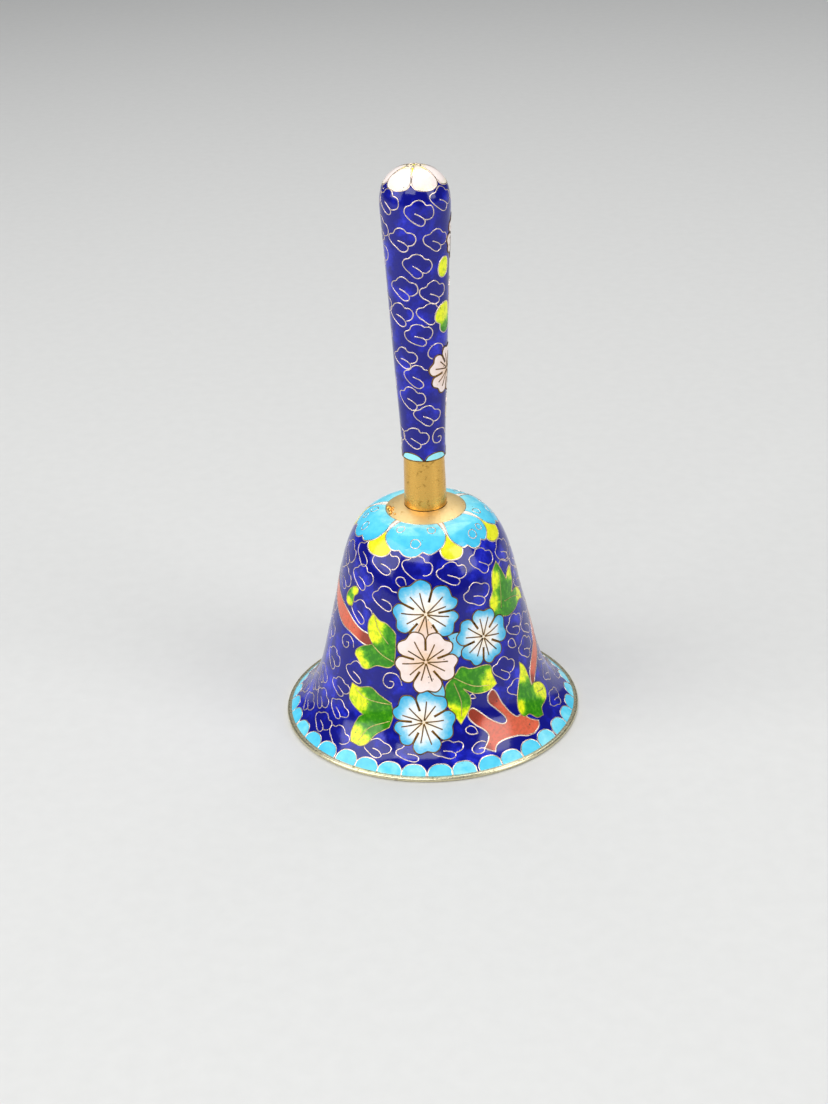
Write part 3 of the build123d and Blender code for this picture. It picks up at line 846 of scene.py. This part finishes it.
# Satin gilding: soft pale gold with hardly a mark.
brass_satin = rubbed_metal("brass_gilt_satin", "F6DA9E", "D6AE68", 0.5, 2.4, 0.35, (1.0, 1.0, 1.0), 0.008)
dress("crown_disc", brass_satin)

# Beads of solder that were left at the edge of the disc, as (angle, radius, size).
BEADS = ((-176, 8.5, 0.62), (-168, 8.3, 0.5), (-171, 7.6, 0.34), (-158, 8.7, 0.44), (-163, 7.9, 0.3),
         (-150, 8.2, 0.26))
# Half profile of a bead as shares of its size, (outwards, up).
BEAD = ((0.95, -0.3), (1.0, 0.1), (0.85, 0.5), (0.5, 0.78), (0.12, 0.88))
BEAD_SIDES = 14
disc_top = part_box("crown_disc")[1].z * 1000
DISC_SLOPE, DISC_SHOULDER = 0.2, 5


def lids(rings, columns):
    """Faces that close the first and the last ring of a grid."""
    return [[(rings - 1) * columns + k for k in range(columns)], [columns - 1 - k for k in range(columns)]]


beads = Making()
turns = np.arange(BEAD_SIDES) * 2 * math.pi / BEAD_SIDES
for angle, out, size in BEADS:
    centre = np.array((*around(angle, out), disc_top - DISC_SLOPE * (out - DISC_SHOULDER)))
    grid = []
    for across, rise in BEAD:
        wobble = np.array([chance.uniform(0.92, 1.08) for _ in turns])
        grid.append(centre + size * hoop(across * wobble, turns, rise))
    beads.add(np.vstack(grid), tiles(len(BEAD), BEAD_SIDES) + lids(len(BEAD), BEAD_SIDES))
# Brass solder, as it froze: yellow and smooth.
solder = rubbed_metal("brass_solder", "F0B860", "B07830", 0.3, 1.0, 0.4)
beads.finished("solder_beads", solder, "gilt_brass")

# ----------------------------------------
# Handle core and plug: a drawn copper tube with a domed end under the handle's enamel, and a turned
# brass plug soldered in its foot, tapped for the eye bolt.

dress("handle_core", copper_spun)
# Turned brass: bright yellow with fine rings of the lathe.
brass_turned = rubbed_metal("brass_turned", "EBC36E", "9A7434", 0.22, 3.0, 0.35, (0.2, 0.2, 4.0), 0.006)
dress("handle_plug", brass_turned)

# ----------------------------------------
# Cobalt ground of the handle: the same blue glass on the tube, between the lappets of the foot and the
# white flower of the top.

FOOT_RADIUS = 4.95
HANDLE_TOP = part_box("handle_cap_enamel")[1].z * 1000
SLEEVE_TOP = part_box("ferrule")[1].z * 1000
handle_wall = Turned(((FOOT_RADIUS, SLEEVE_TOP), (5.65, 83), (6.65, 104), (7.55, 121.5), (7.62, 125.5),
                      (6.8, 128.9), (4.2, 131.6), (0, HANDLE_TOP)), (0, 1), (-1, 0))
handle_ground = coat(handle_wall, 0.0, handle_wall.length - 0.02, 128, COAT_ROW)
handle_ground.finished("handle_cobalt_ground", enamel_cobalt, "cobalt_enamel", ["handle_enamel"])

# ----------------------------------------
# Cap of the handle: a six-petalled white flower over the dome, with yellow in the gaps between its
# petals and a ring of wire round its middle.

CAP_REACH = 8.3
CAP_PETALS = 6
CAP_FIRST = -127
# Half a petal as (share of its reach, degrees from its middle), from the root to the tip.
CAP_PETAL = ((0.06, 0), (0.26, 21), (0.5, 27.5), (0.8, 28.6), (0.95, 20), (1.0, 0))
CAP_STEP = 0.5
# White enamel, polished: milky, with a breath of pink and lemon at the middle of the flower.
enamel_white = fired_enamel("enamel_white",
                            [(0.0, "F6E27A"), (0.16, "FBEFC8"), (0.35, "FFF2EC"), (0.85, "FFF0EA"),
                             (1.0, "FFF6D8")], 0.11, 0.06, (1.5, 0.04))
cap_cells, cap_wires = Making(), Making()
# From here on the cells are on the handle.
taken = []
petal_marks = CAP_PETAL + tuple((share, -bend) for share, bend in CAP_PETAL[-2:0:-1])
for turn in range(CAP_PETALS):
    petal = CAP_FIRST + turn * 360 / CAP_PETALS
    flat = drawn([around(petal - bend, CAP_REACH * share) for share, bend in petal_marks])
    outline = np.column_stack((np.degrees(np.arctan2(flat[:, 1], flat[:, 0])) % 360 - 360,
                               handle_wall.length - np.hypot(*flat.T)))
    outline[:, 0] = petal + (outline[:, 0] - petal + 180) % 360 - 180
    cell(cap_cells, handle_wall, outline, LEAF_LIFT,
         lambda spots: np.clip((handle_wall.length - spots[:, 1]) / CAP_REACH, 0, 1), CAP_STEP, pole=True)
    wire(cap_wires, handle_wall, outline, EDGE_WIRE, LEAF_LIFT + LAYER, True)
    taken += [outline + np.array((shift, 0)) for shift in (0, 360, -360)]
middle = np.column_stack((np.arange(0, 360, 15), np.full(24, handle_wall.length - 1.5)))
wire(cap_wires, handle_wall, middle, EDGE_WIRE, LEAF_LIFT + LAYER + 0.01, True)
gaps = np.column_stack((np.arange(0, 360, 7.5), np.full(48, handle_wall.length - CAP_REACH * 0.62)))
cap_gaps = Making()
cell(cap_gaps, handle_wall, gaps, BRANCH_LIFT, even(0.3), CAP_STEP, pole=True)
taken += [gaps + np.array((shift, 0)) for shift in (-360, 0)]
cap_gaps.finished("handle_cap_gaps", enamel_yellow, "white_enamel")
cap_cells.finished("handle_cap_petals", enamel_white, "white_enamel", ["handle_cap_enamel"])
cap_wires.finished("handle_cap_wires", wire_gilt, "gilt_brass")

# ----------------------------------------
# Foot of the handle: a ring of pale turquoise lappets that rises out of the brass sleeve.

LAPPETS = 5
LAPPET_HEIGHT = 1.8
lappet_cells, lappet_wires = Making(), Making()
lappet_half = math.pi * FOOT_RADIUS / LAPPETS
for turn in range(LAPPETS):
    place = (-125 + turn * 360 / LAPPETS, 0.0)
    marks = ((-lappet_half * 0.98, 0.02, TIP), (-lappet_half * 0.7, LAPPET_HEIGHT * 0.7),
             (-lappet_half * 0.1, LAPPET_HEIGHT), (lappet_half * 0.55, LAPPET_HEIGHT * 0.75),
             (lappet_half * 0.98, 0.02, TIP))
    outline = on_wall(handle_wall, place, drawn(marks))
    cell(lappet_cells, handle_wall, outline, BRANCH_LIFT, even(1.0), CAP_STEP)
    wire(lappet_wires, handle_wall, outline, EDGE_WIRE, BRANCH_LIFT + LAYER, True)
    taken.append(outline)
lappet_cells.finished("handle_foot_lappets", enamel_turquoise, "turquoise_enamel", ["handle_foot_enamel"])
lappet_wires.finished("handle_foot_wires", wire_brown, "gilt_brass")

# ----------------------------------------
# Spray of the handle: white blossoms, green buds and a coral twig up its right side.

spray_white, spray_green, spray_coral = Making(), Making(), Making()
spray_wires, spray_brown = Making(), Making()
SPRAY_BLOSSOMS = (
    ((12, 51), 5.2, (-20, 52, 124, 196, 268)),
    ((-17, 21.2), 5.8, (22, 92, 152, 228, 300)),
)
for place, radius, petals in SPRAY_BLOSSOMS:
    blossom(spray_white, spray_brown, handle_wall, place, radius, petals, FLOWER_LIFT, width=STAMEN_WIRE)
SPRAY_LEAVES = (
    (((-50, 46), (-48, 43.8), (-38, 43.2), (-27, 44), (-24, 45.8), (-28, 47.4), (-40, 47.6)),
     ((-38, 46, 4.5),)),
    (((-44, 37, TIP), (-56, 35.4), (-57, 33.6), (-46, 32.6, TIP), (-44, 31), (-30, 30.2), (-14, 31.4),
      (-16, 34.5), (-24, 37.2)), ((-44, 36, 5.0), (-30, 36.5, 3.4))),
    (((-8, 40, TIP), (-2, 35.5), (10, 33.5, TIP), (20, 36.5), (18, 40.4, TIP), (6, 41.6)), ((16, 39, 3.0),)),
    (((4, 14.5, TIP), (-10, 12.5), (-14, 9.5, TIP), (2, 8.6), (16, 10.5)), ((-11, 10.4, 2.8),)),
)
for marks, sunny in SPRAY_LEAVES:
    leaf(spray_green, spray_wires, handle_wall, marks, (), sunny)
TWIG = ((30, 56, TIP), (38, 48), (34, 38), (44, 28), (36, 17), (26, 12, TIP), (24, 14.5), (30, 20), (34, 28),
        (24, 37), (28, 47), (22, 54, TIP))
inlay(spray_coral, spray_wires, handle_wall, traced(handle_wall, TWIG), BRANCH_LIFT,
      lambda spots: nearness(handle_wall, spots, ((27, 13, 3),)), EDGE_WIRE)
spray_white.finished("handle_blossoms", enamel_pink, "white_enamel")
spray_green.finished("handle_leaves", enamel_leaf, "green_enamel")
spray_coral.finished("handle_twig", enamel_coral, "coral_enamel")
spray_wires.finished("handle_spray_wires", wire_gilt, "gilt_brass")
spray_brown.finished("handle_blossom_wires", wire_brown, "gilt_brass")

# ----------------------------------------
# Clouds of the handle: the same scrolls as on the body, in staggered rows up the tube.

HANDLE_CLOUDS = ((-84, 58.4), (-116, 52.4), (-54, 52), (-90, 46.6), (-118, 41.3), (-60, 40.2),
                 (-130, 35.2), (-67, 35.4), (-92, 30.7), (-127, 25), (-58, 26, CURL), (-98, 20.8),
                 (-116, 15.4), (-77, 11.2), (-113, 5.6), (-48, 5.4, CURL))
handle_clouds = Making()
cloudy_ground(handle_clouds, handle_wall, LAPPET_HEIGHT + 0.4, handle_wall.length - CAP_REACH + 0.3,
              HANDLE_CLOUDS, size=6.5, tall=0.98, gap=7.2, row_gap=5.95)
handle_clouds.finished("handle_cloud_wires", wire_gilt, "gilt_brass")

# ----------------------------------------
# Ferrule: a brass sleeve that the handle stands in, brushed round and since gone brown. Thin dark rings
# in the corners above and below it are painted shadow, standing for the shade of the gaps there.

# Aged brass, brushed round the sleeve: deep gold with brown clouds and fine level lines.
brass_aged = rubbed_metal("brass_aged", "E6B65E", "9C7230", 0.26, 1.8, 0.36, (0.25, 0.25, 5.0), 0.014)
dress("ferrule", brass_aged)

# Painted shadow: matt brown black rings, uneven, that darken the gaps under and over the sleeve.
grime = rubbed_metal("painted_shadow_matt", "3A2A16", "1C140C", 0.8, 0.9, 0.6, (1.0, 1.0, 1.0), 0.02)
sleeve_low, sleeve_high = [corner * 1000 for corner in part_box("ferrule")]
smears = Making()
columns = 180
angles = np.arange(columns) * 2 * math.pi / columns
# One ring of painted shadow below the sleeve and one above, as (height, inner radius, rise, thickness).
SMEARS = ((sleeve_low.z, sleeve_high.x - 0.16, 0.22, 0.2), (sleeve_high.z, FOOT_RADIUS - 0.32, -0.3, 0.25))
for height, radius, rise, thick in SMEARS:
    lumps = np.array([chance.uniform(0.35, 1.0) for _ in range(columns)])
    lumps = (lumps + np.roll(lumps, 1) + np.roll(lumps, 2)) / 3
    grid = []
    for out, up in ((0.0, 0.0), (1.0, 0.0), (0.75, 0.55), (0.0, 1.0)):
        reach = radius + thick * out * (0.6 + lumps * 0.6)
        grid.append(hoop(reach, angles, height + rise * up * lumps * 1.4))
    smears.add(np.vstack(grid), tiles(len(grid), columns, closed_rows=True))
smears.finished("sleeve_painted_shadow", grime, "aged_brass")

# ----------------------------------------
# Eye bolt, washer and nut: an M3 brass screw eye goes up through the crown and the sleeve into the
# plug, and the nut under the washer draws them together.

BOLT_RADIUS = 1.5
THREAD_PITCH = 0.5
THREAD_DEPTH = 0.28
THREAD_ROWS = 8
EYE_WIRE = 0.75
bolt_low, bolt_high = [corner * 1000 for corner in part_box("eye_bolt")]
eye_radius = bolt_high.x - EYE_WIRE
eye_height = bolt_low.z + EYE_WIRE + eye_radius
shank_foot = eye_height + eye_radius
bolt = Making()
columns = 32
rows = round((bolt_high.z - shank_foot) / THREAD_PITCH * THREAD_ROWS)
angles = np.arange(columns) * 2 * math.pi / columns
grid = []
for row in range(rows + 1):
    height = shank_foot + (bolt_high.z - shank_foot) * row / rows
    phase = (height / THREAD_PITCH - angles / (2 * math.pi)) % 1
    runout = min(1, (height - shank_foot) / 1.0)
    taper = min(1, (bolt_high.z - height) / THREAD_DEPTH)
    radius = BOLT_RADIUS - THREAD_DEPTH * (1 - np.abs(2 * phase - 1)) * runout - THREAD_DEPTH * (1 - taper)
    grid.append(hoop(radius, angles, height))
bolt.add(np.vstack(grid), tiles(rows + 1, columns) + lids(rows + 1, columns))


def round_wire(making, centres, sides, ups, thickness, columns=20):
    """Round wire along closed centres, with two ways across it at each."""
    turns = np.arange(columns) * 2 * math.pi / columns
    rings = [centre + thickness * (np.outer(np.cos(turns), side) + np.outer(np.sin(turns), up))
             for centre, side, up in zip(centres, sides, ups)]
    making.add(np.vstack(rings), tiles(len(rings), columns, closed_rows=True))


EYE_STEPS = 72
turns = np.arange(EYE_STEPS) * 2 * math.pi / EYE_STEPS
outwards = np.column_stack((np.cos(turns), np.zeros(EYE_STEPS), np.sin(turns)))
round_wire(bolt, outwards * eye_radius + np.array((0, 0, eye_height)), outwards,
           np.tile((0.0, 1.0, 0.0), (EYE_STEPS, 1)), EYE_WIRE)
bolt.finished("threaded_eye_bolt", brass_turned, "bright_brass", ["eye_bolt"], sharp=40)

nut_low, nut_high = [corner * 1000 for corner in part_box("crown_nut")]
across_flats = min(nut_high.x - nut_low.x, nut_high.y - nut_low.y) / 2
CHAMFER_RADIUS = across_flats * 0.97
CHAMFER_HEIGHT = 0.24
SINK_RADIUS, SINK_DEPTH = 1.7, 0.2
flat_turn = 0 if nut_high.x < nut_high.y else 30
nut = Making()
columns = 96
angles = np.arange(columns) * 360 / columns
hexagon = across_flats / np.cos(np.radians((angles - flat_turn + 30) % 60 - 30))
# Rings of the nut as (height, radius of the bore), from the bore's lower mouth out, up and back in.
OUTSIDE = None
levels = [(nut_low.z, SINK_RADIUS)]
levels += [(nut_low.z + CHAMFER_HEIGHT * k / 2, OUTSIDE) for k in (0, 1, 2)]
levels += [(nut_high.z - CHAMFER_HEIGHT * k / 2, OUTSIDE) for k in (2, 1, 0)]
levels += [(nut_high.z, SINK_RADIUS), (nut_high.z - SINK_DEPTH, BOLT_RADIUS),
           (nut_low.z + SINK_DEPTH, BOLT_RADIUS)]
grid = []
for height, bore in levels:
    depth = min(height - nut_low.z, nut_high.z - height)
    radius = np.minimum(hexagon, CHAMFER_RADIUS + depth * math.sqrt(3)) if bore is OUTSIDE else bore
    grid.append(hoop(radius, np.radians(angles), height))
nut.add(np.vstack(grid), tiles(len(grid), columns, closed_rows=True))
nut.finished("chamfered_crown_nut", brass_turned, "bright_brass", ["crown_nut"], sharp=25)
dress("crown_washer", brass_turned)

# ----------------------------------------
# Link and clapper: a long link of drawn brass wire hangs in the eye, and the clapper's own loop hangs
# in the link. The ball is turned, drilled and pressed on the stem.

# Drawn brass wire: smooth and bright, browned where it does not rub.
brass_drawn = rubbed_metal("brass_drawn_wire", "E2BC6C", "8A6630", 0.25, 1.8, 0.45)
dress("chain_link", brass_drawn)
dress("clapper_wire", brass_drawn)
# Turned brass, long struck: yellow with fine level rings and brown spots.
brass_ball = rubbed_metal("brass_ball", "E6BE6A", "7A5824", 0.2, 2.6, 0.42, (0.3, 0.3, 3.0), 0.008)
dress("clapper_ball", brass_ball)

# ----------------------------------------
# Stage: a plain pale floor under soft boxes, and the camera a little above the bell.

FLOOR_HALF = 4.0
# Matt painted board: pale grey with a faint grain, so that the shadow lies soft.
board = blank("painted_board_matt")
spot = node(board, "TexCoord").outputs["Object"]
grain = node(board, "TexNoise", {"Vector": spot, "Scale": repeats(4.0), "Detail": 4.0})
tone = node(board, "Mix", {0: grain.outputs["Fac"], 6: linear("D2D2D0"), 7: linear("D9D9D7")},
            data_type="RGBA")
paint = node(board, "BsdfPrincipled", {"Base Color": tone.outputs[2], "Roughness": 0.55})
node(board, "OutputMaterial", {"Surface": paint.outputs[0]})
floor_mesh = bpy.data.meshes.new("floor")
corners = [(-FLOOR_HALF, -FLOOR_HALF, 0), (FLOOR_HALF, -FLOOR_HALF, 0), (FLOOR_HALF, FLOOR_HALF, 0),
           (-FLOOR_HALF, FLOOR_HALF, 0)]
floor_mesh.from_pydata(corners, [], [(0, 1, 2, 3)])
floor_mesh.materials.append(board)
floor = bpy.data.objects.new("floor", floor_mesh)
bpy.context.scene.collection.objects.link(floor)

world = bpy.data.worlds.new("studio")
bpy.context.scene.world = world
world.use_nodes = True
world.node_tree.nodes["Background"].inputs["Color"].default_value = linear("E4E8EE")
world.node_tree.nodes["Background"].inputs["Strength"].default_value = 0.2

# Soft boxes as (name, place, width, height, watts).
SOFT_BOXES = (
    ("overhead", (0.05, 0.4, 0.95), 0.9, 0.7, 6.0),
    ("left", (-0.85, -0.35, 0.6), 0.8, 0.9, 6.5),
    ("right", (0.8, -0.5, 0.55), 0.5, 0.8, 4.6),
    ("front", (-0.3, -1.0, 1.0), 0.8, 0.6, 6.2),
)
for name, place, width, height, watts in SOFT_BOXES:
    light = bpy.data.lights.new(name, "AREA")
    light.shape = "RECTANGLE"
    light.size, light.size_y = width, height
    light.energy = watts
    lamp = bpy.data.objects.new(name, light)
    lamp.location = place
    aim = Vector((0, 0, 0.06)) - Vector(place)
    lamp.rotation_euler = aim.to_track_quat("-Z", "Y").to_euler()
    bpy.context.scene.collection.objects.link(lamp)

# The camera stands back and up by so many mouth radii, and looks down with a slight tilt.
MOUTH_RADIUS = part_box("rim_ring")[1].x
CAMERA_BACK, CAMERA_UP = 11.82, 7.19
LOOK_DOWN, LOOK_ASIDE, TILT = (math.radians(degrees) for degrees in (27.0, -0.43, -2.22))
FOCAL_LENGTH = 65.2
ahead = Vector((math.sin(LOOK_ASIDE) * math.cos(LOOK_DOWN), math.cos(LOOK_ASIDE) * math.cos(LOOK_DOWN),
                -math.sin(LOOK_DOWN)))
aside = Vector((math.cos(LOOK_ASIDE), -math.sin(LOOK_ASIDE), 0))
above = aside.cross(ahead)
right = math.cos(TILT) * aside + math.sin(TILT) * above
up = math.cos(TILT) * above - math.sin(TILT) * aside
camera = bpy.data.objects.new("camera", bpy.data.cameras.new("camera"))
camera.data.lens = FOCAL_LENGTH
camera.data.clip_start = 0.01
camera.matrix_world = Matrix.Translation((0, -CAMERA_BACK * MOUTH_RADIUS, CAMERA_UP * MOUTH_RADIUS)) @ Matrix(
    (right, up, -ahead)).transposed().to_4x4()
bpy.context.scene.collection.objects.link(camera)
bpy.context.scene.camera = camera
# Plain sRGB display, so that the enamels keep their full colour.
bpy.context.scene.view_settings.view_transform = "Standard"
